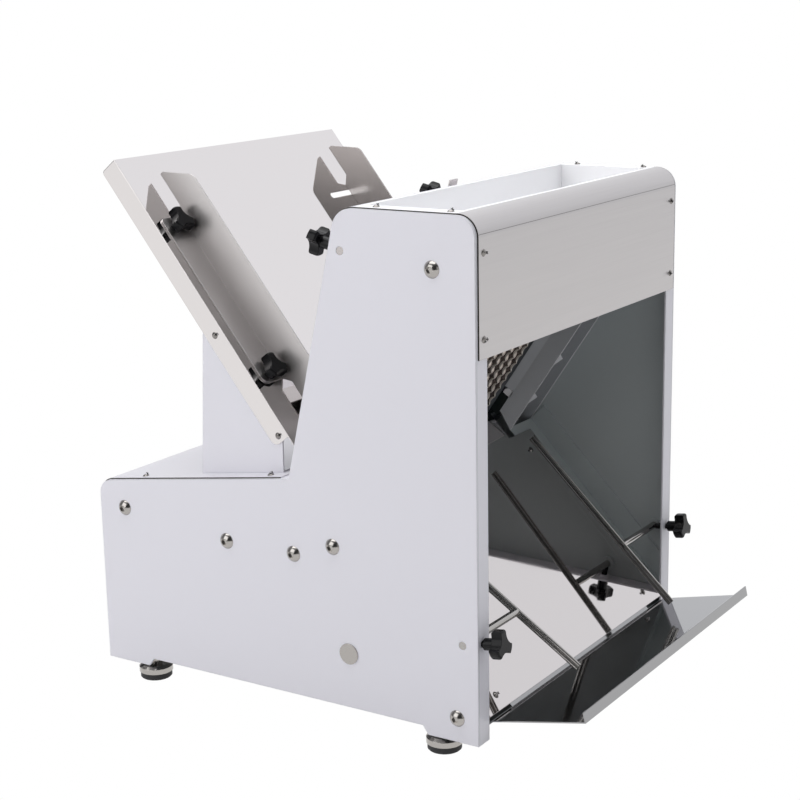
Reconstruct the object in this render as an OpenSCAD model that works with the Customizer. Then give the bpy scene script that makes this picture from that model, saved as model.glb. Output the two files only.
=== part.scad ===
// Continuous bread slicer: gravity feed chute, two reciprocating blade frames, discharge slide.
// Front is -Y, the loaves are fed in at the rear (+Y). The machine stands on z = 0.

/* [Body] */
// Width over the side panels
body_w = 550; // [500:1:620]
// Height of the side panels without the feet
body_h = 640; // [625:1:670]
// Sheet thickness of the side panels
panel_t = 2.5; // [2:0.1:3]
// Width of the flange folded in round each side panel
flange_w = 26; // [23:0.5:28]
// Depth at which the tower's leaning edge meets the rear shoulder
throat_y = 271; // [265:1:280]
// Depth of the low rear part behind the tower
rear_d = 315; // [305:1:360]
// Height at which the tower's leaning edge meets the rear shoulder
throat_z = 297; // [290:1:305]
// Lean of the tower's rear edge, degrees
lean_tilt = 13.3; // [12:0.1:14]
// Fall of the rear shoulder, degrees
shoulder_tilt = 8.2; // [7:0.1:9]
// Corner radius at the top front
front_corner_r = 25; // [20:1:30]
// Corner radius at the top rear
back_corner_r = 28; // [22:1:32]
// Corner radius at the end of the shoulder
shoulder_corner_r = 20; // [14:1:26]
// Height of the relief cut in the bottom edge
relief_h = 11; // [8:1:14]
// Distance of the relief cut from the front and the rear
relief_in = 75; // [65:1:90]

/* [Feet] */
// Height of a foot below the side panels
foot_h = 24; // [20:1:30]
// Diameter of a foot's steel cup
foot_d = 46; // [40:1:50]
// Distance of the feet from the machine's sides
foot_in_x = 23; // [23:1:28]
// Distance of the feet from the front and the rear
foot_in_y = 62; // [56:1:66]

/* [Covers] */
// Sheet thickness of the apron, hood, deck and rear cover
cover_t = 1.5; // [1:0.1:2]
// Distance of the covers' side edges from the outside of the panels
cover_in = 5; // [3:0.5:8]
// Height of the flat part of the front apron
apron_drop = 166; // [140:1:190]
// Depth of the trough in the top cover
trough_depth = 46; // [30:1:50]
// Height of the rear hood down its leaning face
hood_len = 122; // [110:1:130]
// Height of the rear cover
rear_cover_h = 162; // [150:1:165]
// Number of vent slots in each column of the rear cover
vent_count = 8; // [4:1:10]

/* [Feed] */
// Angle of the feed chute, degrees
chute_tilt = 51.7; // [50:0.1:53]
// Length of the feed chute's line from its top edge to the blades
chute_reach = 480.7; // [460:1:500]
// Depth of the chute's folded side flanges
chute_flange = 28; // [24:1:32]
// Distance of the feed guides' upright sheets from the outside of the panels
guide_in = 83; // [80:1:95]
// Height of the feed guides above the chute
guide_h = 55; // [45:1:60]
// Travel of each feed guide inward
feed_guide_travel = 66; // [40:1:68]

/* [Blades] */
// Distance between neighbouring blades, which is the thickness of a slice
blade_pitch = 12; // [12:0.5:12.5]
// Width of a blade
blade_w = 12; // [10:0.5:14]
// Thickness of a blade
blade_t = 0.6; // [0.4:0.1:0.8]
// Lean of the blade frames forward from the vertical, degrees
blade_tilt = 34; // [33:0.1:35]
// Clear length of the blades between the beams
blade_len = 208; // [200:1:212]
// Length of one scallop of a blade's edge
scallop_len = 15.5; // [12:0.5:18]
// Throw of the crankshaft's eccentrics
crank_throw = 12.5; // [11:0.1:13]

/* [Discharge] */
// Angle of the discharge slide, degrees
slide_tilt = 46; // [45:0.1:47]
// Length of the lip tray in front of the machine
lip_len = 129; // [110:1:140]
// Upward slope of the lip tray, degrees
lip_tilt = 12.3; // [10:0.1:15]
// Height of the lip tray's front fold
lip_fold = 12; // [8:1:16]
// Diameter of the cross rods
cross_rod_d = 10; // [9:0.1:10.5]
// Diameter of the wires of the discharge guides
wire_d = 5; // [4.5:0.1:6]
// Length of the discharge guides above the cross rod
wire_up_len = 198; // [180:1:210]
// Length of the discharge guides below the cross rod
wire_down_len = 104; // [90:1:115]

/* [Fasteners] */
// Diameter of the tie bars
tie_bar_d = 20; // [18:0.5:22]
// Head diameter of the panel bolts
bolt_head_d = 21; // [19:0.5:23]
// Head diameter of the sheet screws
screw_head_d = 9; // [8:0.5:10]
// Diameter of the three lobed heads of the clamp knobs
knob_d = 37; // [34:0.5:40]

/* [Hidden] */
$fn = 48;

// Shared clearances and overruns
over = 1;
run_gap = 0.3;
fit_gap = 0.05;
hole_gap = 0.1;

// Frame of the side panels: y back from the front face, z up from the bottom edge
half_w = body_w / 2;
body_d = throat_y + rear_d;
loaf_w = body_w - 2 * guide_in;
inner_x = half_w - panel_t;
flange_x = half_w - flange_w;
top_back_y = throat_y - (body_h - throat_z) * tan(lean_tilt);
shoulder_end_z = throat_z - (body_d - throat_y) * tan(shoulder_tilt);
CORNERS = [[0, 0], [0, body_h], [top_back_y, body_h], [throat_y, throat_z],
    [body_d, shoulder_end_z], [body_d, 0]];
CORNER_RADII = [0, front_corner_r, back_corner_r, 0, shoulder_corner_r, 0];
relief_ramp = 8;

// Blade plane: q runs across it towards the feed, s runs along the blades, upward and forward
cut_back = 14.8;
cut_up = 4.8;
cut_y = throat_y - cut_back;
cut_z = throat_z + cut_up;
BLADE_DIR = [-sin(blade_tilt), cos(blade_tilt)];
BLADE_NORMAL = [cos(blade_tilt), sin(blade_tilt)];
frame_gap = 4;
bar_t = blade_w;
frame_q = frame_gap / 2 + bar_t / 2;
bar_w = 36;
bar_x = loaf_w / 2 - frame_gap / 2 + bar_w;
bar_in_x = bar_x - bar_w;
beam_h = 25;
beam_low_s = -28;
beam_high_s = beam_low_s + blade_len;
bar_over = 5;
bar_corner_r = 8;
beam_slot = 10;
scallop_depth = 2;
blade_room = 6;
blade_count = 2 * floor((bar_in_x - blade_room) / blade_pitch) + 1;

// Crank and connecting rods
crank_s = -200;
shaft_r = 12;
eccentric_wall = 1.5;
eccentric_r = crank_throw + shaft_r + eccentric_wall;
eccentric_t = 16;
rod_x = 30;
rod_t = 14;
rod_wall = 7;
rod_shank_w = 20;
wrist_drop = 15;
wrist_s = beam_low_s - beam_h - wrist_drop;
wrist_r = 6;
wrist_q = 13;
crank_swing = 35;
wrist_shift = crank_throw * (1 - cos(crank_swing)) / 2;
wrist_play = 0.5;
wrist_gap = wrist_shift + wrist_play;
cheek_t = 6;
cheek_r = 10;

// Places of the tie bars: two are set out from the blade plane, as [q, s]
BAR_FRONT_QS = [-47.9, -90.4];
BAR_REAR_QS = [39.9, -149.7];
function on_blade_plane(qs) = [cut_y, cut_z] + qs[0] * BLADE_NORMAL + qs[1] * BLADE_DIR;
crank_yz = on_blade_plane([0, crank_s]);
bar_front_yz = on_blade_plane(BAR_FRONT_QS);
bar_rear_yz = on_blade_plane(BAR_REAR_QS);
top_bar_in = 57.5;
top_bar_drop = 64;
back_bar_in = 42;
back_bar_drop = 38.5;
slide_bar_back = 64;
slide_bar_drop = 78;
front_bar_in = 30;
front_bar_up = 30.5;
function blade_x(i) = (i - (blade_count - 1) / 2) * blade_pitch;
function deck_z(y) = shoulder_z(y) + cover_t / cos(shoulder_tilt);
function shoulder_z(y) = throat_z - (y - throat_y) * tan(shoulder_tilt);
back_bar_yz = [body_d - back_bar_in, shoulder_z(body_d - back_bar_in) - back_bar_drop];
top_bar_yz = [top_bar_in, body_h - top_bar_drop];
TOP_BAR_QS = [BLADE_NORMAL * (top_bar_yz - [cut_y, cut_z]), BLADE_DIR * (top_bar_yz - [cut_y, cut_z])];
slide_bar_yz = [throat_y - slide_bar_back, throat_z - slide_bar_drop];
TIE_BARS = [back_bar_yz, bar_rear_yz, bar_front_yz, slide_bar_yz, top_bar_yz,
    [front_bar_in, front_bar_up]];
tie_bar_r = tie_bar_d / 2;
bolt_r = 6;
bolt_thread = 20;
bolt_head_h = 6;
socket_d = 8;
socket_depth = 3.5;

// Frame plates that hang on the tie bars and carry the crank and the frames' guides
plate_t = 5;
plate_clear = 12;
plate_x = bar_x + plate_clear;
plate_eye_r = 15;
plate_crank_r = 32;
plate_strip = 16;
plate_neck_s = -104;
block_gap = 0.3;
block_fin = 1.9;
block_low_s = -16;
block_high_s = 160;
block_h = 44;
block_pad = 24;
block_pad_h = 34;
block_hold = 10;
block_q = frame_q + bar_t / 2 + block_gap + block_fin;
bearing_r = 26;
bearing_t = 15;
bearing_step = 5;

// Blade guards, folded sheet in front of the frames' side bars
guard_t = 1.5;
guard_front_q = -48;
guard_inner_q = -block_q - block_gap - guard_t;
guard_clear = 2;
guard_x = bar_x + guard_clear;
guard_inner_x = bar_in_x - guard_clear;
guard_low_s = -31;
guard_mid_s = -21;
guard_lift = 2;
guard_inner_s = block_low_s + block_h + guard_lift;
guard_notch_s = 43;
guard_notch = 2.2;
guard_top_gap = 10.4;
guard_high_s = TOP_BAR_QS[1] - tie_bar_r - guard_top_gap;
guard_corner_r = 6;
lug_w = 13;
lug_h = 18;
GUARD_LUGS_S = [30, 103];

// Pulleys, belt and motor
crank_pulley_r = 50;
motor_pulley_r = 24;
pulley_in = 96.5;
pulley_x = inner_x - pulley_in;
pulley_t = 20;
groove_depth = 9;
groove_w = 10;
belt_w = 9;
pulley_hub_r = 20;
pulley_hub_len = 10;
pulley_wall = 6;
pulley_hole_r = 7;
motor_r = 58;
motor_len = 190;
motor_shaft_r = 9.5;
motor_foot = 8;
motor_foot_w = 70;
motor_foot_len = 150;
motor_fin = 4;
motor_fin_t = 4;
motor_fins = 12;
motor_cap = 16;
motor_bore = 30;
motor_plate_w = 224;
motor_back = 79.8;
motor_plate_t = 5;
motor_ear_t = 12;
motor_ear_r = 15;
motor_tilt = atan((back_bar_yz[1] - bar_rear_yz[1]) / (back_bar_yz[0] - bar_rear_yz[0]));
motor_span = norm(back_bar_yz - bar_rear_yz);
motor_drop = tie_bar_r + motor_plate_t + motor_foot + motor_r;
motor_reach = (body_d - motor_back - bar_rear_yz[0] - motor_drop * sin(motor_tilt)) / cos(motor_tilt);
motor_yz = bar_rear_yz + motor_reach * [cos(motor_tilt), sin(motor_tilt)]
    + motor_drop * [sin(motor_tilt), -cos(motor_tilt)];
motor_stub = 12;
motor_end_x = pulley_x - motor_stub;
motor_plate_low_x = motor_end_x - motor_plate_w;

// Chute, its folded sheet and its supports
CHUTE_DOWN = [-cos(chute_tilt), -sin(chute_tilt)];
CHUTE_UP_NORMAL = [-sin(chute_tilt), cos(chute_tilt)];
chute_top_yz = [cut_y, cut_z] - chute_reach * CHUTE_DOWN;
chute_side_gap = 2.3;
chute_x = flange_x - chute_side_gap;
chute_end_gap = 19;
chute_len = chute_reach - chute_end_gap;
chute_flange_end = 53;
chute_hem = 10;
chute_corner_r = 10;
support_t = 2;
support_out_x = chute_x - cover_t;
support_flange = 18;
support_back_y = 161;
support_lean = 13;
support_front_y = 29;
slot_w = 8.8;
function chute_z(y, v) = chute_top_yz[1] - (chute_top_yz[0] - y) * tan(chute_tilt)
    + v / cos(chute_tilt);

// Feed guides, in distances u down the chute and v above it
guide_t = 2;
guide_foot_w = 41;
guide_foot_top_u = 97;
guide_foot_low_u = 353;
guide_top_u = 37;
guide_low_u = 440;
guide_lift = 11;
guide_shoulder_u = 32;
guide_corner_r = 13;
guide_rest = 0.2;
guide_tip = 5;
feed_guide_out = 10;
feed_knob_out = 21;
feed_knob_x = loaf_w / 2 + feed_knob_out;
FEED_KNOBS_U = [110, 338];
nut_t = 6.5;
nut_d = 15;

// Clamp knobs
stud_r = 4;
hub_r = 7.5;
hub_h = 14;
feed_hub_h = 5;
knob_h = 14;
knob_scallop_r = 17;
knob_edge_r = 3;
knob_collar_r = 5.5;
knob_out = 4;
rear_knob_out = 1;
knob_tilt = 8;
insert_r = 6.5;
insert_len = 3.5;

// Cross rods and what they carry
cross_rod_r = cross_rod_d / 2;
front_rod_yz = [21.3, 125.5];
rear_rod_lean = 17;
rear_rod_down = 48.2;
LEAN_UP = [-sin(lean_tilt), cos(lean_tilt)];
LEAN_OUT = [cos(lean_tilt), sin(lean_tilt)];
lean_top_yz = [top_back_y, body_h];
rear_rod_yz = lean_top_yz - rear_rod_lean * LEAN_OUT - rear_rod_down * LEAN_UP;
collar_r = 10;
collar_len = 4;
knob_in_x = 11;
left_guide_in = 133;
right_guide_in = 112;
left_guide_x = half_w - left_guide_in;
right_guide_x = half_w - right_guide_in;
wire_r = wire_d / 2;
wire_pitch = 5.6;
LEFT_WIRE_TILTS = [33.2, 32.9];
RIGHT_WIRE_TILTS = [43.9, 43.5];
flap_in = 95;
flap_x = half_w - flap_in;
flap_len = 108;
flap_t = 1.5;
flap_roll_r = 4;

// Gate plate that slides on the rear hood
gate_in = 85;
gate_x = half_w - gate_in;
gate_low = 146;
gate_h = 60;
gate_strap_w = 20;
gate_up = 4;
gate_knob_down = 24;
gate_stud_out = 14;
gate_boss_r = 8;
gate_boss_len = 6;
gate_corner_r = 8;
gate_travel_up = 40;
gate_travel_down = 6;

// Slide, its rails and the lip tray
slide_root_yz = [-1.2, 28.9];
SLIDE_UP = [cos(slide_tilt), sin(slide_tilt)];
SLIDE_NORMAL = [-sin(slide_tilt), cos(slide_tilt)];
slide_gap = 20;
slide_len = (-slide_gap - BLADE_NORMAL * (slide_root_yz - [cut_y, cut_z])) / (BLADE_NORMAL * SLIDE_UP);
slide_side_gap = 0.8;
slide_x = flange_x - slide_side_gap;
tongue_len = 46;
tongue_side_gap = 5;
tongue_x = bar_in_x - tongue_side_gap;
rail_t = 2;
rail_up = 30;
rail_w = 67.5;
rail_in_x = inner_x - rail_w;
rail_low_t = 10;
rail_short = 31;
rail_high_t = slide_len - rail_short;
lip_tab = 35;
lip_root = 6.5;
lip_flare = 3;
slide_screw_in = 8;
slide_screw_x = rail_in_x + slide_screw_in;
SLIDE_SCREWS_T = [18.5, 279];

// Covers
seam_gap = 0.3;
seam_in = 2;
seam_front_y = front_corner_r + seam_in;
seam_back_y = top_back_y - fillet_run(CORNERS[1], CORNERS[2], CORNERS[3], back_corner_r);
trough_rim = 5;
deck_start = 16;
rear_cover_z = 60;
deck_gap = 2;
deck_rear_z = rear_cover_z + rear_cover_h + deck_gap;
vent_w = 70;
vent_h = 4;
vent_pitch = 14;
vent_in = 185;
vent_x = half_w - vent_in;
vent_low = 32;

// Base plate and crumb drawer
base_z = 12;
base_t = 3;
base_in_y = 8;
base_flange = 8;
drawer_in = 43;
drawer_x = half_w - drawer_in;
drawer_t = 1.2;
drawer_h = 40;
drawer_front_y = 130;
runner_t = 2;
runner_h = 14;
drawer_pull_w = 90;
drawer_pull_h = 20;
drawer_z = base_z + base_t + run_gap;
stud_foot_r = 5;
foot_pad_h = 9;
foot_pad_edge = 1.5;
foot_cup_h = 7;
foot_cup_slope = 4;
foot_neck_r = 9;
foot_nut_t = 8;

// Small pieces
screw_r = 2.4;
screw_head_h = 2.4;
screw_grip = 6;
screw_in = 17;
APRON_SCREWS_DOWN = [43, 143];
TOP_SCREWS_Y = [41, 142.5];
HOOD_SCREWS_DOWN = [35, 105];
DECK_SCREWS_BACK = [40, 250];
REAR_SCREWS_UP = [20, 142];
SUPPORT_SCREWS = [[13, 61], [9, 160]];
CHUTE_SCREWS_U = [265.5, 418.7];
plug_yz = [186, 82.5];
plug_r = 13.5;
plug_lip = 1.2;
plug_stem_r = 11;
plug_len = 10;
button_r = 9;
button_travel = 4;
button_proud = 5;
button_back = 126;
button_yz = [body_d - button_back, 165];
button_step = 42;
switch_box_w = 60;
switch_box_h = 100;
switch_box_t = 50;
bezel_r = 12;
gland_in = 85;
gland_x = half_w - gland_in;
gland_z = 82;
gland_r = 9;
gland_hex_r = 12;
gland_len = 5;
gland_bore_r = 4;
button_len = 16;

// Reach of the whole machine front and rear, used to centre it on the origin
LIP_DIR = [-cos(lip_tilt), sin(lip_tilt)];
lip_root_yz = slide_root_yz - lip_root * SLIDE_UP - cover_t * SLIDE_NORMAL;
lip_end_yz = lip_root_yz + lip_len * LIP_DIR;
front_reach = lip_end_yz[0];
rear_reach = body_d + cover_t + gland_len;
mid_y = (front_reach + rear_reach) / 2;

// Geometry helpers
function unit(v) = v / norm(v);
function inward(a, b) = let (u = unit(b - a)) [u[1], -u[0]];
// Corner b of a clockwise outline, moved inward by d on both its edges
function moved_corner(a, b, c, d) = let (m = inward(a, b), n = inward(b, c)) b + d * (m + n) / (1 + m * n);
function shrunk(pts, d) = let (n = len(pts))
    [for (i = [0 : n - 1]) moved_corner(pts[(i + n - 1) % n], pts[i], pts[(i + 1) % n], d)];
// Distance from a corner to where its fillet starts
function fillet_run(a, b, c, r) = let (k = unit(b - a) * unit(c - b)) r * sqrt((1 - k) / (1 + k));

// A plate of height h over a clockwise outline, with true arcs at its convex corners
module rounded(pts, radii, h) {
    n = len(pts);
    linear_extrude(h) polygon([for (i = [0 : n - 1])
        let (a = pts[(i + n - 1) % n], b = pts[i], c = pts[(i + 1) % n], f = fillet_run(a, b, c, radii[i]))
        each (radii[i] > 0 ? [b - f * unit(b - a), b + f * unit(c - b)] : [b])]);
    for (i = [0 : n - 1]) {
        a = pts[(i + n - 1) % n];
        b = pts[i];
        c = pts[(i + 1) % n];
        if (radii[i] > 0)
            translate(b - fillet_run(a, b, c, radii[i]) * unit(b - a) + radii[i] * inward(a, b))
                cylinder(h = h, r = radii[i]);
    }
}

// Places the side panels' frame on the floor frame
module stand() translate([0, -mid_y, foot_h]) children();
// Stands a plate drawn in (y, z) on its edge, so that its thickness runs along X from x
module from_x(x) translate([x, 0, 0]) rotate([90, 0, 90]) children();
// Extrudes a (y, z) outline along X between two places
module along_x(x0, x1) from_x(x0) linear_extrude(x1 - x0) children();
module at_yz(p) translate([0, p[0], p[1]]) children();
// A straight round bar along X
module bar_along_x(x0, x1, r) translate([x0, 0, 0]) rotate([0, 90, 0]) cylinder(h = x1 - x0, r = r);
// Frames of the inclined parts
module on_blades() translate([0, cut_y, cut_z]) rotate([blade_tilt, 0, 0]) children();
module on_chute() at_yz(chute_top_yz) rotate([chute_tilt, 0, 0]) children();
module on_slide() at_yz(slide_root_yz) rotate([slide_tilt, 0, 0]) children();
module on_shoulder() translate([0, throat_y, throat_z]) rotate([-shoulder_tilt, 0, 0]) children();
module on_lean() at_yz(lean_top_yz) rotate([lean_tilt, 0, 0]) children();
module both_sides() {
    children();
    mirror([1, 0, 0]) children();
}
module block(x, y, z) translate([x[0], y[0], z[0]]) cube([x[1] - x[0], y[1] - y[0], z[1] - z[0]]);

// Dome headed fastener along +Z: its seat is at z = 0 and its shank runs down from it
module dome_head(r, h) {
    ball_r = (r * r + h * h) / (2 * h);
    rotate_extrude() intersection() {
        translate([0, h - ball_r]) circle(ball_r);
        square([r, h]);
    }
}
module screw(grip) {
    dome_head(screw_head_d / 2, screw_head_h);
    translate([0, 0, -grip]) cylinder(h = grip, r = screw_r);
}

// Clamp knob along +Z: the hub stands on z = 0 and the stud runs down from it
module clamp_knob(stud_len, hub_len) {
    head_z = hub_len - over;
    translate([0, 0, -stud_len]) cylinder(h = stud_len + over, r = stud_r);
    cylinder(h = hub_len, r = hub_r);
    difference() {
        translate([0, 0, head_z]) rotate_extrude() {
            square([knob_d / 2 - knob_edge_r, knob_h]);
            translate([0, knob_edge_r]) square([knob_d / 2, knob_h - 2 * knob_edge_r]);
            for (z = [knob_edge_r, knob_h - knob_edge_r])
                translate([knob_d / 2 - knob_edge_r, z]) circle(knob_edge_r);
        }
        for (turn = [30, 150, 270])
            rotate(turn) translate([knob_scallop_r + hub_r + knob_edge_r / 2, 0, head_z - over])
                cylinder(h = knob_h + 2 * over, r = knob_scallop_r);
    }
}

// A link plate of height h: two round ends joined by their outer tangents
module link(a, b, ra, rb, h) {
    d = b - a;
    base = atan2(d[1], d[0]);
    open = acos((ra - rb) / norm(d));
    linear_extrude(h) polygon([for (end = [[a, ra, 1], [b, rb, 1], [b, rb, -1], [a, ra, -1]])
        end[0] + end[1] * [cos(base + end[2] * open), sin(base + end[2] * open)]]);
    translate(a) cylinder(h = h, r = ra);
    translate(b) cylinder(h = h, r = rb);
}
// A hole of depth h with round ends, w long and t wide
module slot(w, t, h) {
    translate([-(w - t) / 2, -t / 2, 0]) cube([w - t, t, h]);
    for (x = [-1, 1]) translate([x * (w - t) / 2, 0, 0]) cylinder(h = h, r = t / 2);
}
// Lays a plate drawn in (x, s) across the blade plane, so that its thickness runs back from q
module from_q(q) translate([0, q, 0]) rotate([90, 0, 0]) children();

// Places of the sheet screws on the left panel's flanges: each stands on the flange, pointing out
module flange_screw_places() {
    x = -half_w + screw_in;
    for (z = APRON_SCREWS_DOWN) translate([x, 0, body_h - z]) rotate([90, 0, 0]) children();
    for (y = TOP_SCREWS_Y) translate([x, y, body_h]) children();
    for (down = HOOD_SCREWS_DOWN) on_lean() translate([x, 0, -down]) rotate([-90, 0, 0]) children();
    for (back = DECK_SCREWS_BACK) on_shoulder() translate([x, back, 0]) children();
    for (up = REAR_SCREWS_UP) translate([x, body_d, rear_cover_z + up]) rotate([-90, 0, 0]) children();
}
module support_screw_places() for (p = SUPPORT_SCREWS)
    on_shoulder() translate([-support_out_x + p[0], p[1], cover_t]) children();
module chute_screw_places() for (u = CHUTE_SCREWS_U)
    on_chute() translate([-chute_x, -u, -chute_flange / 2]) rotate([0, -90, 0]) children();
module slide_screw_places() for (t = SLIDE_SCREWS_T)
    on_slide() translate([-slide_screw_x, t, 0]) children();
module screw_hole(depth) translate([0, 0, -depth]) cylinder(h = depth + 2 * cover_t, r = screw_r + hole_gap);
module flange_screw_holes() both_sides() flange_screw_places() screw_hole(panel_t + over);
module rear_knob_place(x) on_lean() translate([x, 0, -rear_rod_down]) rotate([-90, 0, 0]) children();
module front_knob_place(x) translate([x, front_rod_yz[0], front_rod_yz[1]]) rotate([90 - knob_tilt, 0, 0])
    translate([0, 0, front_rod_yz[0] / cos(knob_tilt)]) children();
module stud_hole(depth, reach) translate([0, 0, -depth]) cylinder(h = depth + reach, r = stud_r + hole_gap);

// Pressed nut behind a panel's flange, for the stud of a clamp knob
module stud_insert() translate([0, 0, -panel_t - insert_len])
    cylinder(h = insert_len + panel_t / 2, r = insert_r);

// Folded sheet panel on the left, open at the bottom
module side_panel() difference() {
    union() {
        difference() {
            from_x(-half_w) rounded(CORNERS, CORNER_RADII, flange_w);
            from_x(-inner_x)
                rounded(shrunk(CORNERS, panel_t), [for (r = CORNER_RADII) max(0, r - panel_t)], flange_w);
            block([-inner_x, -flange_x + over], [panel_t, body_d - panel_t], [-over, 2 * panel_t]);
        }
        front_knob_place(-half_w + knob_in_x) stud_insert();
        rear_knob_place(-half_w + knob_in_x) stud_insert();
    }
    along_x(-half_w - over, -flange_x + over) polygon([
        [relief_in - relief_ramp / 2, -over], [relief_in - relief_ramp / 2, 0],
        [relief_in + relief_ramp / 2, relief_h], [body_d - relief_in - relief_ramp / 2, relief_h],
        [body_d - relief_in + relief_ramp / 2, 0], [body_d - relief_in + relief_ramp / 2, -over]]);
    for (p = TIE_BARS) at_yz(p) bar_along_x(-half_w - over, -inner_x + over, bolt_r + hole_gap);
    for (p = [front_rod_yz, rear_rod_yz])
        at_yz(p) bar_along_x(-half_w - over, -inner_x + over, cross_rod_r + hole_gap);
    flange_screw_places() screw_hole(panel_t + over);
    front_knob_place(-half_w + knob_in_x) stud_hole(panel_t + insert_len + over, over);
    rear_knob_place(-half_w + knob_in_x) stud_hole(panel_t + insert_len + over, over);
}

module left_side_panel() color("ghostwhite") stand() difference() {
    side_panel();
    at_yz(plug_yz) bar_along_x(-half_w - over, -inner_x + over, plug_stem_r + hole_gap);
}

module right_side_panel() color("ghostwhite") stand() difference() {
    mirror([1, 0, 0]) side_panel();
    for (step = [0, button_step]) at_yz(button_yz + [0, step])
        bar_along_x(inner_x - over, half_w + over, bezel_r + hole_gap);
}

module tie_bars() color("silver") stand() for (p = TIE_BARS) at_yz(p) difference() {
    bar_along_x(-inner_x, inner_x, tie_bar_r);
    both_sides() bar_along_x(-inner_x - over, -inner_x + bolt_thread + over, bolt_r + fit_gap);
}

module panel_bolts() color("silver") stand() both_sides() for (p = TIE_BARS) at_yz(p)
    translate([-half_w, 0, 0]) rotate([0, -90, 0]) {
        difference() {
            dome_head(bolt_head_d / 2, bolt_head_h);
            translate([0, 0, bolt_head_h - socket_depth]) rotate(30)
                cylinder(h = bolt_head_h, r = socket_d / 2 / cos(30), $fn = 6);
        }
        translate([0, 0, -panel_t - bolt_thread]) cylinder(h = panel_t + bolt_thread, r = bolt_r);
    }

// Places of the four feet on the floor side of the base plate
module foot_places() both_sides() for (y = [foot_in_y, body_d - foot_in_y])
    translate([-half_w + foot_in_x, y, 0]) children();

module base_plate() color("gainsboro") stand() {
    rear_y = body_d - base_in_y;
    difference() {
        union() {
            block([-inner_x, inner_x], [base_in_y, rear_y], [base_z, base_z + base_t]);
            both_sides() block([-inner_x, -inner_x + base_t], [base_in_y, rear_y],
                [base_z, base_z + base_flange]);
        }
        foot_places() cylinder(h = base_z + 2 * base_t, r = stud_foot_r + hole_gap);
    }
    both_sides() block([-drawer_x - over - runner_t, -drawer_x - over], [drawer_front_y, rear_y],
        [base_z + base_t, base_z + base_t + runner_h]);
}

module foot_cups() color("silver") stand() foot_places() {
    pad_top = -foot_h + foot_pad_h;
    cup_r = foot_d / 2;
    rotate_extrude() polygon([[0, pad_top], [cup_r, pad_top], [cup_r, pad_top + foot_cup_h],
        [cup_r - foot_cup_slope, pad_top + foot_cup_h + foot_cup_slope],
        [foot_neck_r, pad_top + foot_cup_h + foot_cup_slope], [foot_neck_r, base_z],
        [stud_foot_r, base_z], [stud_foot_r, base_z + base_t + foot_nut_t + over],
        [0, base_z + base_t + foot_nut_t + over]]);
    difference() {
        translate([0, 0, base_z + base_t]) cylinder(h = foot_nut_t, r = foot_neck_r, $fn = 6);
        cylinder(h = base_z + base_t + 2 * foot_nut_t, r = stud_foot_r + fit_gap);
    }
}

module foot_pads() color("dimgray") stand() foot_places() translate([0, 0, -foot_h])
    rotate_extrude() polygon([[0, 0], [foot_d / 2 - 2 * foot_pad_edge, 0],
        [foot_d / 2 - foot_pad_edge, foot_pad_edge], [foot_d / 2 - foot_pad_edge, foot_pad_h],
        [0, foot_pad_h]]);

// A sheet that lies on the panels' edges between two depths and two heights
module skin_sheet(y, z) from_x(-half_w + cover_in) {
    w = body_w - 2 * cover_in;
    difference() {
        intersection() {
            rounded(shrunk(CORNERS, -cover_t), [for (r = CORNER_RADII) r > 0 ? r + cover_t : 0], w);
            translate([y[0], z[0], 0]) cube([y[1] - y[0], z[1] - z[0], w]);
        }
        translate([0, 0, -over]) rounded(CORNERS, CORNER_RADII, w + 2 * over);
    }
}

module deck() color("ghostwhite") stand() difference() {
    skin_sheet([throat_y + deck_start, body_d + 2 * cover_t], [deck_rear_z, throat_z]);
    flange_screw_holes();
    both_sides() support_screw_places() screw_hole(2 * cover_t);
}

module rear_cover() color("ghostwhite") stand() difference() {
    block([-half_w + cover_in, half_w - cover_in], [body_d, body_d + cover_t],
        [rear_cover_z, rear_cover_z + rear_cover_h]);
    flange_screw_holes();
    for (x = [-vent_x, vent_x], i = [0 : vent_count - 1])
        translate([x, body_d - over, rear_cover_z + vent_low + i * vent_pitch]) rotate([-90, 0, 0])
            slot(vent_w, vent_h, cover_t + 2 * over);
    translate([gland_x, body_d - over, gland_z]) rotate([-90, 0, 0])
        cylinder(h = cover_t + 2 * over, r = gland_r + hole_gap);
}

module sheet_screws() color("silver") stand() both_sides() {
    flange_screw_places() translate([0, 0, cover_t]) screw(cover_t + screw_grip);
    support_screw_places() translate([0, 0, support_t]) screw(support_t + screw_grip);
    chute_screw_places() screw(cover_t + support_t + over);
    slide_screw_places() screw(cover_t + rail_t + over);
}

// Upright plate that carries the chute on the deck, with a flange for its screws
module chute_supports() color("ghostwhite") stand() both_sides() difference() {
    front_y = throat_y + support_front_y;
    rear_y = throat_y + support_back_y;
    union() {
        along_x(-support_out_x, -support_out_x + support_t) polygon([[front_y, deck_z(front_y)],
            [front_y, chute_z(front_y, -cover_t)],
            [rear_y - support_lean, chute_z(rear_y - support_lean, -cover_t)], [rear_y, deck_z(rear_y)]]);
        on_shoulder() block([-support_out_x, -support_out_x + support_t + support_flange],
            [support_front_y / cos(shoulder_tilt), support_back_y / cos(shoulder_tilt)],
            [cover_t, cover_t + support_t]);
    }
    support_screw_places() screw_hole(2 * support_t);
    chute_screw_places() screw_hole(cover_t + 2 * support_t);
}

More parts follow.
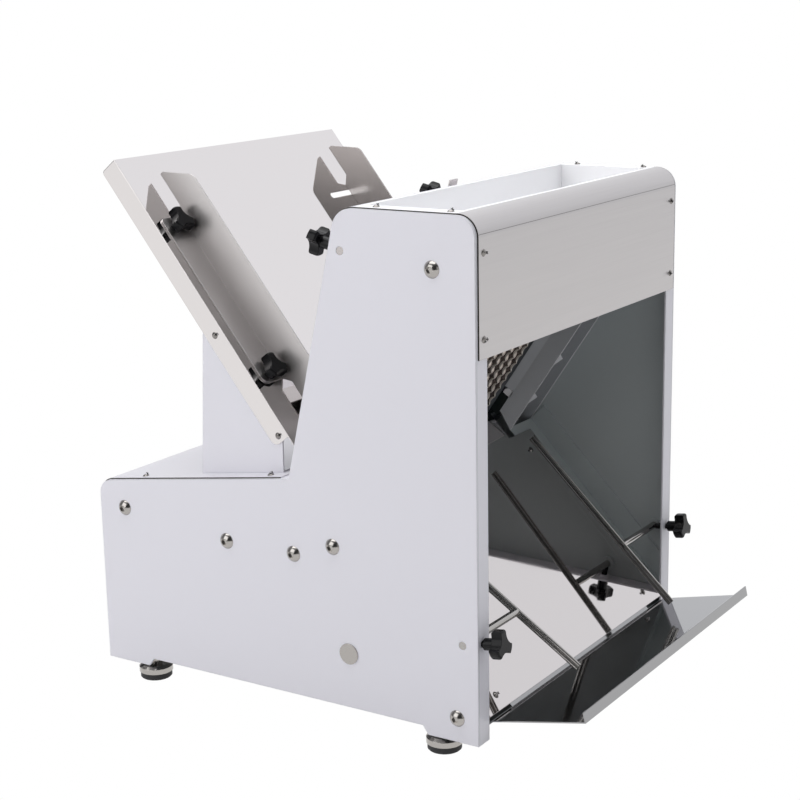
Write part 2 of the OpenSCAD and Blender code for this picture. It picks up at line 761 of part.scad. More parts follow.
module feed_chute() color("gainsboro") stand() difference() {
    on_chute() {
        block([-chute_x, chute_x], [-chute_len, 0], [-cover_t, 0]);
        block([-chute_x + cover_t, chute_x - cover_t], [-chute_hem, 0], [-2 * cover_t, -cover_t]);
        both_sides() from_x(-chute_x) rounded(
            [[-chute_reach + chute_flange_end, -chute_flange], [-chute_reach + chute_flange_end, 0],
                [0, 0], [0, -chute_flange]], [chute_corner_r, 0, 0, chute_corner_r / 2], cover_t);
    }
    both_sides() chute_screw_places() screw_hole(cover_t + over);
    on_chute() both_sides() for (u = FEED_KNOBS_U)
        translate([-feed_knob_x + (feed_guide_travel - feed_guide_out) / 2, -u, -over - cover_t])
            slot(feed_guide_travel + feed_guide_out + slot_w, slot_w, cover_t + 2 * over);
}

module top_cover() color("ghostwhite") stand() difference() {
    trough_x = flange_x - 2 * cover_t;
    trough_y = [seam_front_y + trough_rim, seam_back_y - trough_rim];
    union() {
        block([-half_w + cover_in, half_w - cover_in], [seam_front_y + seam_gap, seam_back_y],
            [body_h, body_h + cover_t]);
        block([-trough_x, trough_x], trough_y, [body_h - trough_depth - cover_t, body_h]);
    }
    block([-trough_x + cover_t, trough_x - cover_t], trough_y + [cover_t, -cover_t],
        [body_h - trough_depth, body_h + cover_t + over]);
    flange_screw_holes();
}

module front_apron() color("silver") stand() difference() {
    skin_sheet([-2 * cover_t, seam_front_y], [body_h - apron_drop, body_h + 2 * cover_t]);
    flange_screw_holes();
}

module rear_hood() color("ghostwhite") stand() difference() {
    union() {
        skin_sheet([seam_back_y + seam_gap, throat_y], [body_h - hood_len, body_h + 2 * cover_t]);
        on_lean() translate([0, 0, -gate_knob_down]) rotate([90, 0, 0])
            cylinder(h = gate_boss_len, r = gate_boss_r);
    }
    flange_screw_holes();
    both_sides() rear_knob_place(-half_w + knob_in_x) stud_hole(over, over + cover_t);
    on_lean() translate([0, -gate_boss_len - over, -gate_knob_down]) rotate([-90, 0, 0])
        cylinder(h = gate_boss_len + cover_t + 2 * over, r = stud_r + hole_gap);
}

module discharge_slide() color("gainsboro") stand() difference() {
    on_slide() translate([0, 0, -cover_t]) linear_extrude(cover_t) {
        wide_len = slide_len - tongue_len;
        translate([-slide_x, 0]) square([2 * slide_x, wide_len]);
        translate([-tongue_x, 0]) square([2 * tongue_x, slide_len]);
    }
    both_sides() slide_screw_places() screw_hole(cover_t + over);
}

// Angle rails under the slide's edges, trimmed behind the panels' front flanges
module slide_rails() color("gainsboro") stand() both_sides() difference() {
    on_slide() {
        block([-inner_x, -inner_x + rail_t], [rail_low_t, rail_high_t], [-cover_t - rail_t, rail_up]);
        block([-inner_x, -rail_in_x], [rail_low_t, rail_high_t], [-cover_t - rail_t, -cover_t]);
    }
    slide_screw_places() screw_hole(cover_t + rail_t + over);
    block([-half_w, half_w], [-rail_up, panel_t + run_gap], [0, throat_z]);
}

module lip_tray() color("gainsboro") stand() {
    at_yz(lip_root_yz) rotate([-lip_tilt, 0, 0]) {
        linear_extrude(cover_t) polygon([[-slide_x, 0], [-slide_x - lip_flare, -lip_len],
            [slide_x + lip_flare, -lip_len], [slide_x, 0]]);
        block([-slide_x - lip_flare, slide_x + lip_flare], [-lip_len, -lip_len + cover_t],
            [0, cover_t + lip_fold]);
    }
    at_yz(lip_root_yz) bar_along_x(-rail_in_x + lip_root, rail_in_x - lip_root, cover_t);
    on_slide() block([-rail_in_x + lip_root, rail_in_x - lip_root], [-lip_root, lip_tab],
        [-2 * cover_t, -cover_t]);
}

// Z shaped guard in front of a frame's side bar, on the left
module blade_guard() on_blades() {
    block([-inner_x, -guard_x], [guard_front_q, guard_front_q + guard_t], [guard_low_s, guard_high_s]);
    along_x(-guard_x - guard_t, -guard_x) polygon([[guard_front_q, guard_low_s],
        [guard_front_q, guard_high_s], [guard_inner_q + guard_t, guard_high_s],
        [guard_inner_q + guard_t, guard_mid_s]]);
    from_q(guard_inner_q + guard_t) {
        rounded([[-guard_x - guard_t, guard_inner_s], [-guard_x - guard_t, guard_notch_s],
            [-guard_inner_x, guard_notch_s], [-guard_inner_x, guard_inner_s]],
            [0, 0, guard_corner_r, 0], guard_t);
        translate([-guard_x - guard_t, guard_notch_s + guard_notch, 0])
            cube([guard_x + guard_t - guard_inner_x, guard_high_s - guard_notch_s - guard_notch, guard_t]);
    }
    for (s = GUARD_LUGS_S) from_q(guard_front_q) linear_extrude(guard_t)
        polygon([[-guard_x, s - lug_h / 2], [-guard_x - lug_w, s], [-guard_x, s + lug_h / 2]]);
}
module left_blade_guard() color("lightslategray") stand() blade_guard();
module right_blade_guard() color("lightslategray") stand() mirror([1, 0, 0]) blade_guard();

// Plastic blocks with a slot for each frame's side bar
module guide_blocks() color("#202224") stand() on_blades() both_sides() difference() {
    union() {
        block([-plate_x, -bar_in_x - block_gap], [-block_q, block_q], [block_low_s, block_low_s + block_h]);
        block([-bar_x, -bar_in_x - block_gap], [-block_q - block_pad, -block_q],
            [block_low_s + block_h - block_pad_h, block_low_s + block_h]);
        block([-plate_x, -bar_x + block_hold], [-block_q, block_q], [block_high_s, block_high_s + block_h]);
    }
    for (q = [-frame_q, frame_q])
        block([-bar_x - block_gap, 0], [q - bar_t / 2 - block_gap, q + bar_t / 2 + block_gap],
            [block_low_s - over, block_high_s + block_h + over]);
}

module frame_plate() on_blades() from_x(-plate_x - plate_t) difference() {
    union() {
        link(BAR_FRONT_QS, [0, crank_s], plate_eye_r, plate_crank_r, plate_t);
        link(BAR_REAR_QS, [0, crank_s], plate_eye_r, plate_crank_r, plate_t);
        link(BAR_FRONT_QS, BAR_REAR_QS, plate_eye_r, plate_eye_r, plate_t);
        link([0, plate_neck_s], TOP_BAR_QS, plate_strip, plate_eye_r, plate_t);
    }
    for (p = [BAR_FRONT_QS, BAR_REAR_QS, TOP_BAR_QS])
        translate([p[0], p[1], -over]) cylinder(h = plate_t + 2 * over, r = tie_bar_r + fit_gap);
    translate([0, crank_s, -over]) cylinder(h = plate_t + 2 * over, r = shaft_r + 2 * over);
}
module left_frame_plate() color("slategray") stand() frame_plate();
module right_frame_plate() color("slategray") stand() mirror([1, 0, 0]) frame_plate();

module crank_bearings() color("dimgray") stand() both_sides() at_yz(crank_yz) difference() {
    union() {
        bar_along_x(-plate_x - plate_t - bearing_t, -plate_x - plate_t, bearing_r - bearing_step);
        bar_along_x(-plate_x - plate_t - bearing_step, -plate_x - plate_t, bearing_r);
    }
    bar_along_x(-plate_x - plate_t - bearing_t - over, -plate_x - plate_t + over, shaft_r + fit_gap);
}

// Frame of the motor plate: its Y runs from the rear bar below the chute to the bar at the back
module on_motor_plate() at_yz(bar_rear_yz) rotate([motor_tilt, 0, 0]) children();

module motor_plate() color("slategray") stand() on_motor_plate() difference() {
    union() {
        block([motor_plate_low_x, motor_end_x], [-tie_bar_r, motor_span + tie_bar_r],
            [-tie_bar_r - motor_plate_t, -tie_bar_r - hole_gap]);
        for (x = [motor_plate_low_x, motor_end_x - motor_ear_t], y = [0, motor_span])
            translate([0, y, 0]) bar_along_x(x, x + motor_ear_t, motor_ear_r);
    }
    for (y = [0, motor_span]) translate([0, y, 0])
        bar_along_x(motor_plate_low_x - over, motor_end_x + over, tie_bar_r + fit_gap);
}

module motor() color("dimgray") stand() {
    low_x = motor_end_x - motor_len;
    difference() {
        union() {
            at_yz(motor_yz) {
                bar_along_x(low_x, motor_end_x, motor_r - motor_fin);
                bar_along_x(low_x, low_x + motor_cap, motor_r);
                bar_along_x(motor_end_x - motor_cap, motor_end_x, motor_r);
                for (i = [1 : motor_fins])
                    translate([i * (motor_len - 2 * motor_cap) / (motor_fins + 1), 0, 0])
                        bar_along_x(low_x + motor_cap - motor_fin_t / 2,
                            low_x + motor_cap + motor_fin_t / 2, motor_r);
            }
            on_motor_plate() block([motor_end_x - motor_foot_len, motor_end_x - motor_cap],
                [motor_reach - motor_foot_w / 2, motor_reach + motor_foot_w / 2],
                [-motor_drop + motor_r / 2, -tie_bar_r - motor_plate_t]);
        }
        at_yz(motor_yz) bar_along_x(motor_end_x - motor_bore, motor_end_x + over, motor_shaft_r + fit_gap);
    }
}

// Grooved pulley along X from x = 0
module pulley(r, bore_r, hub_len) difference() {
    mouth = groove_depth / 6;
    rotate([0, 90, 0]) rotate_extrude() polygon([[bore_r, 0], [r, 0],
        [r, pulley_t / 2 - groove_w / 2 - mouth], [r - groove_depth, pulley_t / 2 - groove_w / 2],
        [r - groove_depth, pulley_t / 2 + groove_w / 2], [r, pulley_t / 2 + groove_w / 2 + mouth],
        [r, pulley_t], [bore_r + pulley_wall, pulley_t], [bore_r + pulley_wall, pulley_t + hub_len],
        [bore_r, pulley_t + hub_len]]);
    if (r > 2 * pulley_hub_r) for (turn = [0 : 60 : 300]) rotate([turn, 0, 0])
        translate([-over, 0, (r - groove_depth + bore_r + pulley_wall) / 2]) rotate([0, 90, 0])
            cylinder(h = pulley_t + 2 * over, r = pulley_hole_r);
}

module crank_pulley() color("gray") stand() at_yz(crank_yz) translate([pulley_x, 0, 0])
    pulley(crank_pulley_r, shaft_r + fit_gap, pulley_hub_len);

module motor_pulley() color("gray") stand() at_yz(motor_yz) {
    translate([pulley_x, 0, 0]) pulley(motor_pulley_r, motor_shaft_r - over, pulley_hub_len);
    bar_along_x(motor_end_x - motor_bore + over, pulley_x + pulley_t, motor_shaft_r);
}

// Belt in its grooves, clear of their floors
module belt_loop(grow, h) link(crank_yz, motor_yz, crank_pulley_r - groove_depth + grow,
    motor_pulley_r - groove_depth + grow, h);
module v_belt() color("#2b2b2d") stand() from_x(pulley_x + pulley_t / 2 - belt_w / 2) difference() {
    belt_loop(groove_depth - run_gap, belt_w);
    translate([0, 0, -over]) belt_loop(run_gap, belt_w + 2 * over);
}

// Weld collars inside the panels that guide the cross rods
module rod_collars() color("ghostwhite") stand() both_sides() for (p = [front_rod_yz, rear_rod_yz])
    at_yz(p) difference() {
        bar_along_x(-inner_x, -inner_x + collar_len, collar_r);
        bar_along_x(-inner_x - over, -inner_x + collar_len + over, cross_rod_r + fit_gap);
    }

module access_plug() color("silver") stand() at_yz(plug_yz) {
    bar_along_x(-half_w - plug_lip, -half_w, plug_r);
    bar_along_x(-half_w, -half_w + plug_len, plug_stem_r);
}

module cable_gland() color("#2b2b2d") stand() translate([gland_x, body_d + cover_t, gland_z])
    rotate([-90, 0, 0]) difference() {
        union() {
            cylinder(h = gland_len, r = gland_hex_r, $fn = 6);
            translate([0, 0, -gland_len * 3]) cylinder(h = gland_len * 3, r = gland_r);
        }
        translate([0, 0, -gland_len * 3 - over]) cylinder(h = gland_len * 4 + 2 * over, r = gland_bore_r);
    }

module switch_box() color("dimgray") stand() difference() {
    union() {
        at_yz(button_yz + [0, button_step / 2]) block([inner_x - switch_box_t, inner_x],
            [-1, 1] * switch_box_w / 2, [-1, 1] * switch_box_h / 2);
        for (step = [0, button_step]) at_yz(button_yz + [0, step])
            bar_along_x(inner_x - over, half_w + plug_lip, bezel_r);
    }
    for (step = [0, button_step]) at_yz(button_yz + [0, step])
        bar_along_x(inner_x - button_len, half_w + 2 * plug_lip, button_r + hole_gap);
}
module button(step) stand() at_yz(button_yz + [0, step])
    bar_along_x(inner_x - button_len + button_travel + over, half_w + button_proud, button_r);
module start_button() color("seagreen") button(button_step);
module stop_button() color("firebrick") button(0);

// Blade frame on one side of the blade plane: beams with a slot for each blade, and side bars
module blade_frame(side, first) on_blades() {
    q = [side * frame_q - bar_t / 2, side * frame_q + bar_t / 2];
    pin_yz = [side * wrist_q, wrist_s];
    cheek_x = side * rod_x + rod_t / 2 + block_gap;
    both_sides() from_q(q[1]) rounded([[-bar_x, beam_low_s - beam_h - bar_over],
        [-bar_x, beam_high_s + beam_h + bar_over], [-bar_in_x, beam_high_s + beam_h + bar_over],
        [-bar_in_x, beam_low_s - beam_h - bar_over]],
        [bar_corner_r, bar_corner_r, bar_corner_r, bar_corner_r], bar_t);
    difference() {
        union() {
            for (s = [beam_low_s - beam_h, beam_high_s])
                block([-bar_in_x, bar_in_x], q, [s, s + beam_h]);
            for (x = [cheek_x, 2 * side * rod_x - cheek_x - cheek_t])
                from_x(x) link(pin_yz, pin_yz + [0, beam_h], cheek_r, cheek_r, cheek_t);
        }
        translate([0, pin_yz[0], pin_yz[1]])
            bar_along_x(side * rod_x - rod_t - cheek_t, side * rod_x + rod_t + cheek_t, wrist_r + fit_gap);
        for (i = [first : 2 : blade_count - 1]) translate([blade_x(i), 0, 0])
            block([-1, 1] * (blade_t / 2 + hole_gap), q + [-over, over],
                [beam_low_s - beam_slot, beam_high_s + beam_slot]);
    }
    translate([0, pin_yz[0], pin_yz[1]]) bar_along_x(side * rod_x - rod_t / 2 - cheek_t,
        side * rod_x + rod_t / 2 + cheek_t, wrist_r);
}

// Blades with both edges scalloped between the beams
module blade_set(side, first) on_blades() for (i = [first : 2 : blade_count - 1])
    along_x(blade_x(i) - blade_t / 2, blade_x(i) + blade_t / 2) translate([side * frame_q, 0]) {
        count = floor(blade_len / scallop_len);
        tip = blade_w / 2;
        edge = [for (k = [0 : count - 1]) let (s = beam_low_s + k * blade_len / count)
            each [[tip, s], [tip - scallop_depth, s + blade_len / count / 2]]];
        right = concat([[tip, beam_low_s - beam_slot]], edge, [[tip, beam_high_s],
            [tip, beam_high_s + beam_slot]]);
        polygon(concat(right, [for (k = [len(right) - 1 : -1 : 0]) [-right[k][0], right[k][1]]]));
    }
module front_blade_frame() color("lightslategray") stand() blade_frame(-1, 0);
module rear_blade_frame() color("lightslategray") stand() blade_frame(1, 1);
module front_blades() color("silver") stand() blade_set(-1, 0);
module rear_blades() color("silver") stand() blade_set(1, 1);

module crankshaft() color("gray") stand() on_blades() translate([0, 0, crank_s]) {
    shaft_x = plate_x + plate_t + bearing_t + over;
    bar_along_x(-shaft_x, shaft_x, shaft_r);
    for (side = [-1, 1]) translate([0, side * crank_throw, 0])
        bar_along_x(side * rod_x - eccentric_t / 2, side * rod_x + eccentric_t / 2, eccentric_r);
}

module connecting_rod(side) on_blades() from_x(side * rod_x - rod_t / 2) difference() {
    big = [side * crank_throw, crank_s];
    small = [side * (wrist_q + wrist_shift), wrist_s];
    eye_r = wrist_r + wrist_gap;
    union() {
        link(big, small, rod_shank_w / 2, rod_shank_w / 2, rod_t);
        translate(big) cylinder(h = rod_t, r = eccentric_r + rod_wall);
        translate(small) cylinder(h = rod_t, r = eye_r + rod_wall / 2);
    }
    translate([big[0], big[1], -over]) cylinder(h = rod_t + 2 * over, r = eccentric_r + fit_gap);
    translate([small[0], small[1], -over]) cylinder(h = rod_t + 2 * over, r = eye_r);
}
module front_connecting_rod() color("darkgray") stand() connecting_rod(-1);
module rear_connecting_rod() color("darkgray") stand() connecting_rod(1);

// Feed guide on the left: an upright sheet on a foot that lies on the chute
module feed_guide() on_chute() {
    x = -loaf_w / 2;
    rest = guide_rest;
    from_x(x - guide_t) rounded([[-guide_low_u, guide_lift], [-guide_low_u, guide_h],
        [-guide_top_u - guide_shoulder_u, guide_h], [-guide_top_u, guide_lift + guide_tip],
        [-guide_top_u, guide_lift], [-guide_foot_top_u + guide_lift, guide_lift],
        [-guide_foot_top_u, rest], [-guide_foot_low_u, rest], [-guide_foot_low_u - guide_lift, guide_lift]],
        [guide_corner_r / 2, guide_corner_r / 2, guide_corner_r, guide_tip / 2, 0, 0, 0, 0, 0], guide_t);
    difference() {
        translate([0, 0, rest]) rounded([[x - guide_foot_w, -guide_foot_low_u],
            [x - guide_foot_w, -guide_foot_top_u], [x, -guide_foot_top_u], [x, -guide_foot_low_u]],
            [guide_corner_r, guide_corner_r / 2, 0, 0], guide_t);
        for (u = FEED_KNOBS_U) translate([-feed_knob_x, -u, 0])
            cylinder(h = 2 * guide_t, r = stud_r + hole_gap);
    }
}
module guide_nuts() on_chute() for (u = FEED_KNOBS_U)
    translate([-feed_knob_x, -u, -cover_t - run_gap - nut_t]) difference() {
        cylinder(h = nut_t, r = nut_d / 2 / cos(30), $fn = 6);
        translate([0, 0, -over]) cylinder(h = nut_t + 2 * over, r = stud_r + fit_gap);
    }
module feed_knob(x, u) stand() on_chute() translate([x, -u, guide_rest + guide_t + hole_gap])
    clamp_knob(guide_rest + guide_t + hole_gap + cover_t + run_gap + nut_t + over, feed_hub_h);
module left_feed_guide() color("silver") stand() feed_guide();
module right_feed_guide() color("silver") stand() mirror([1, 0, 0]) feed_guide();
module left_guide_nuts() color("silver") stand() guide_nuts();
module right_guide_nuts() color("silver") stand() mirror([1, 0, 0]) guide_nuts();
module upper_left_feed_knob() color("#1c1d1f") feed_knob(-feed_knob_x, FEED_KNOBS_U[0]);
module lower_left_feed_knob() color("#1c1d1f") feed_knob(-feed_knob_x, FEED_KNOBS_U[1]);
module upper_right_feed_knob() color("#1c1d1f") feed_knob(feed_knob_x, FEED_KNOBS_U[0]);
module lower_right_feed_knob() color("#1c1d1f") feed_knob(feed_knob_x, FEED_KNOBS_U[1]);

// Discharge guide on the left: two bent wires welded to the end of a cross rod
module discharge_guide(x, tilts) {
    mid_tilt = (tilts[0] + tilts[1]) / 2;
    at_yz(front_rod_yz) {
        bar_along_x(-half_w, -x, cross_rod_r);
        for (side = [-1, 1]) translate([-x, -side * wire_pitch / 2 * sin(mid_tilt),
            side * wire_pitch / 2 * cos(mid_tilt)]) {
            sphere(wire_r + hole_gap);
            rotate([tilts[0] - 90, 0, 0]) cylinder(h = wire_up_len, r = wire_r);
            rotate([tilts[1] + 90, 0, 0]) cylinder(h = wire_down_len, r = wire_r);
        }
    }
}
module left_discharge_guide() color("silver") stand() discharge_guide(left_guide_x, LEFT_WIRE_TILTS);
module right_discharge_guide() color("silver") stand() mirror([1, 0, 0])
    discharge_guide(right_guide_x, RIGHT_WIRE_TILTS);

module front_knob(x) stand() front_knob_place(x) translate([0, 0, knob_out])
    clamp_knob(knob_out + front_rod_yz[0] / cos(knob_tilt) - cross_rod_r - run_gap, hub_h);
module left_front_knob() color("#1c1d1f") front_knob(-half_w + knob_in_x);
module right_front_knob() color("#1c1d1f") front_knob(half_w - knob_in_x);

module rear_knob(x) stand() rear_knob_place(x) translate([0, 0, cover_t + rear_knob_out])
    clamp_knob(cover_t + rear_knob_out + rear_rod_lean - cross_rod_r - run_gap, hub_h);
module left_rear_knob() color("#1c1d1f") rear_knob(-half_w + knob_in_x);
module right_rear_knob() color("#1c1d1f") rear_knob(half_w - knob_in_x);

// Flap that holds the loaves down, hung on the rear cross rod
module hold_down() color("silver") stand() at_yz(rear_rod_yz) {
    bar_along_x(-half_w, half_w, cross_rod_r);
    rotate([lean_tilt, 0, 0]) {
        block([-flap_x, flap_x], [-flap_t / 2, flap_t / 2], [-flap_len, 0]);
        translate([0, 0, -flap_len]) bar_along_x(-flap_x, flap_x, flap_roll_r);
    }
}

module gate_plate() color("silver") stand() on_lean() difference() {
    back_y = cover_t + run_gap;
    union() {
        from_q(back_y + cover_t) rounded([[-gate_x, -gate_low], [-gate_x, -gate_low + gate_h],
            [gate_x, -gate_low + gate_h], [gate_x, -gate_low]],
            [gate_corner_r, gate_corner_r, gate_corner_r, gate_corner_r], cover_t);
        block([-gate_strap_w / 2, gate_strap_w / 2], [back_y, back_y + cover_t],
            [-gate_low + gate_h / 2, gate_up]);
    }
    from_q(back_y + cover_t + over)
        translate([0, -gate_knob_down + (gate_travel_down - gate_travel_up) / 2, 0]) rotate(90)
            slot(gate_travel_up + gate_travel_down + slot_w, slot_w, cover_t + 2 * over);
}

module gate_knob() color("#1c1d1f") stand() on_lean() translate([0, gate_stud_out, -gate_knob_down])
    rotate([-90, 0, 0]) {
        clamp_knob(gate_stud_out + gate_boss_len, hub_h);
        translate([0, 0, -gate_stud_out + 2 * cover_t + 2 * run_gap])
            cylinder(h = gate_stud_out - 2 * cover_t - 2 * run_gap, r = knob_collar_r);
    }

module crumb_drawer() color("gainsboro") stand() difference() {
    front_x = flange_x - cover_t;
    union() {
        block([-drawer_x, drawer_x], [drawer_front_y, body_d], [drawer_z, drawer_z + drawer_h]);
        block([-front_x, front_x], [body_d - cover_t, body_d], [drawer_z, rear_cover_z - over]);
    }
    block([-drawer_x + drawer_t, drawer_x - drawer_t], [drawer_front_y + drawer_t, body_d - cover_t],
        [drawer_z + drawer_t, drawer_z + drawer_h + over]);
    translate([0, body_d + over, drawer_z + drawer_h / 2]) rotate([90, 0, 0])
        slot(drawer_pull_w, drawer_pull_h, cover_t + 2 * over);
}

left_side_panel();
right_side_panel();
tie_bars();
panel_bolts();
base_plate();
foot_cups();
foot_pads();
deck();
rear_cover();
sheet_screws();
chute_supports();
feed_chute();
top_cover();
front_apron();
rear_hood();
discharge_slide();
slide_rails();
lip_tray();
left_blade_guard();
right_blade_guard();
guide_blocks();
left_frame_plate();
right_frame_plate();
crank_bearings();
motor();
motor_plate();
rod_collars();
access_plug();
cable_gland();
v_belt();
switch_box();
front_blade_frame();
front_blades();
rear_blade_frame();
rear_blades();
crankshaft();
crank_pulley();
front_connecting_rod();
rear_connecting_rod();
motor_pulley();
left_feed_guide();
left_guide_nuts();
right_feed_guide();
right_guide_nuts();
upper_left_feed_knob();
lower_left_feed_knob();
upper_right_feed_knob();
lower_right_feed_knob();
left_discharge_guide();
right_discharge_guide();
left_front_knob();
right_front_knob();
hold_down();
left_rear_knob();
right_rear_knob();
gate_plate();
gate_knob();
crumb_drawer();
start_button();
stop_button();
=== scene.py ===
import math
import random

import bmesh
import bpy
from mathutils import Matrix, Vector


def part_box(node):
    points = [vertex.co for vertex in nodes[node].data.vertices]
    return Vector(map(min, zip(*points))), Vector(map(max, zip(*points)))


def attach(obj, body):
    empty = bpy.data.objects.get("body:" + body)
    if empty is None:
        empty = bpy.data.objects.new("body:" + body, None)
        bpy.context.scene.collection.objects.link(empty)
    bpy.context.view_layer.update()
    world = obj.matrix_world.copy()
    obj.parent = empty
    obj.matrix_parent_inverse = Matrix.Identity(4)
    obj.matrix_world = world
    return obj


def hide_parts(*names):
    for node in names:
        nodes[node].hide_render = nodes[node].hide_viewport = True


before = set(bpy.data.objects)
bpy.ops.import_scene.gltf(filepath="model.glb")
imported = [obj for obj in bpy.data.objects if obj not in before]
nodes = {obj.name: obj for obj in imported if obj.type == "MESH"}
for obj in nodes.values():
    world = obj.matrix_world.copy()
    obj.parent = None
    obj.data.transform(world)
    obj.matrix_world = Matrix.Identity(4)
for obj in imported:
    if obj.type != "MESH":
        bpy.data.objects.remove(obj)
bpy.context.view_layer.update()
MM = 0.001

# Camera
# The photograph's camera, fitted to the straight edges and the bolts of the left panel.
IMAGE_PX = 800
FOCAL_PX = 1746.9
SENSOR_MM = 36.0
CAMERA_TURN = 32.80
CAMERA_TILT = 13.55
CAMERA_ROLL = 1.06
# Its place from the left panel's front bottom corner: across, back and up
CAMERA_FROM_CORNER = Vector((-1.6804, -0.9794, 0.8994))
CLIP_NEAR = 0.05
CLIP_FAR = 30


def place_camera():
    corner_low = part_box("left_side_panel")[0]
    turn, tilt, roll = (math.radians(v) for v in (CAMERA_TURN, CAMERA_TILT, CAMERA_ROLL))
    ahead = Vector((math.cos(turn) * math.cos(tilt), math.sin(turn) * math.cos(tilt), -math.sin(tilt)))
    right = Vector((math.sin(turn), -math.cos(turn), 0))
    down = ahead.cross(right)
    right_rolled = right * math.cos(roll) + down * math.sin(roll)
    down_rolled = down * math.cos(roll) - right * math.sin(roll)
    data = bpy.data.cameras.new("camera")
    data.sensor_width = SENSOR_MM
    data.lens = FOCAL_PX * SENSOR_MM / IMAGE_PX
    data.clip_start, data.clip_end = CLIP_NEAR, CLIP_FAR
    camera = bpy.data.objects.new("camera", data)
    bpy.context.collection.objects.link(camera)
    spin = Matrix((right_rolled, -down_rolled, -ahead)).transposed().to_4x4()
    camera.matrix_world = Matrix.Translation(Vector(corner_low) + CAMERA_FROM_CORNER) @ spin
    bpy.context.scene.camera = camera


# Materials
BEVEL_SAMPLES = 6
EVEN = (1, 1, 1)


def shader(name, color, metallic=0.0, roughness=0.5, **sockets):
    mat = bpy.data.materials.new(name)
    mat.use_nodes = True
    bsdf = mat.node_tree.nodes["Principled BSDF"]
    bsdf.inputs["Base Color"].default_value = (*color, 1)
    bsdf.inputs["Metallic"].default_value = metallic
    bsdf.inputs["Roughness"].default_value = roughness
    for socket, value in sockets.items():
        bsdf.inputs[socket.replace("_", " ")].default_value = value
    return mat


def surface(mat):
    return mat.node_tree.nodes["Principled BSDF"]


def link(mat, source, target):
    mat.node_tree.links.new(source, target)


def add(mat, kind, **settings):
    made = mat.node_tree.nodes.new(kind)
    for key, value in settings.items():
        setattr(made, key, value)
    return made


def coordinates(mat, scale):
    """Object coordinates in metres, scaled along each axis."""
    place = add(mat, "ShaderNodeTexCoord")
    mapping = add(mat, "ShaderNodeMapping")
    mapping.inputs["Scale"].default_value = scale
    link(mat, place.outputs["Object"], mapping.inputs["Vector"])
    return mapping.outputs["Vector"]


def noise(mat, scale, size, detail=2.0):
    made = add(mat, "ShaderNodeTexNoise")
    made.inputs["Scale"].default_value = size
    made.inputs["Detail"].default_value = detail
    link(mat, coordinates(mat, scale), made.inputs["Vector"])
    return made.outputs["Fac"]


def spread(mat, value, low, high, start=0.3, end=0.7):
    """Maps a noise value around its middle to a range."""
    ramp = add(mat, "ShaderNodeMapRange")
    ramp.inputs["From Min"].default_value = start
    ramp.inputs["From Max"].default_value = end
    ramp.inputs["To Min"].default_value = low
    ramp.inputs["To Max"].default_value = high
    link(mat, value, ramp.inputs["Value"])
    return ramp.outputs["Result"]


def math_node(mat, operation, first, second=None):
    made = add(mat, "ShaderNodeMath", operation=operation)
    for socket, value in zip(made.inputs, (first, second)):
        if isinstance(value, float):
            socket.default_value = value
        elif value is not None:
            link(mat, value, socket)
    return made.outputs[0]


def mixed_color(mat, fac, first, second):
    made = add(mat, "ShaderNodeMix", data_type="RGBA")
    link(mat, fac, made.inputs[0])
    made.inputs[6].default_value = (*first, 1)
    made.inputs[7].default_value = (*second, 1)
    return made.outputs[2]


def rounded_edges(mat, radius, height=None, strength=0.0, distance=0.0):
    """Rounds the look of sharp edges, and adds an optional bump over them."""
    bevel = add(mat, "ShaderNodeBevel", samples=BEVEL_SAMPLES)
    bevel.inputs["Radius"].default_value = radius
    normal = bevel.outputs["Normal"]
    if height is not None:
        bump = add(mat, "ShaderNodeBump")
        bump.inputs["Strength"].default_value = strength
        bump.inputs["Distance"].default_value = distance
        link(mat, height, bump.inputs["Height"])
        link(mat, normal, bump.inputs["Normal"])
        normal = bump.outputs["Normal"]
    link(mat, normal, surface(mat).inputs["Normal"])


# Paints, with painted shade as dark lines where sheets meet
PANEL_T = 2.5 * MM
PANEL_BEND_R = 2.2 * MM
COVER_BEND_R = 1.2 * MM
PLATE_BEND_R = 0.8 * MM
INNER_FACE_HALF = 0.4 * MM
SEAM_W = 0.9 * MM
OUTER_PAINT = (0.80, 0.79, 0.845)
# The top cover's coat, lighter than the panels' as painted light from above
TOP_PAINT_LIT = (0.93, 0.93, 0.945)
# Deck, rear cover and hood coat, darker than the panels' as painted shade
REAR_PAINT_SHADED = (0.75, 0.74, 0.79)
# Grey green of the inner faces, rod collars and slide rails: partly paint, partly painted shade of the
# inside
INNER_PAINT_AND_SHADE = (0.50, 0.54, 0.545)
# Colour of the painted shade in the seams against the side panels and in the crease
PAINTED_SEAM_SHADE = (0.05, 0.046, 0.042)
CREASE_DOWN = 23 * MM
CREASE_W = 0.8 * MM
CREASE_SHADE = 0.6
PEEL_PER_M = 900
PEEL_STRENGTH = 0.06
PEEL_HEIGHT = 0.4 * MM
COAT_ROUGHNESS = 0.34
INNER_ROUGHNESS = 0.4


def from_middle(mat):
    """How far a point is to the left or right of the machine's middle."""
    split = add(mat, "ShaderNodeSeparateXYZ")
    link(mat, coordinates(mat, EVEN), split.inputs[0])
    return math_node(mat, "ABSOLUTE", split.outputs["X"])


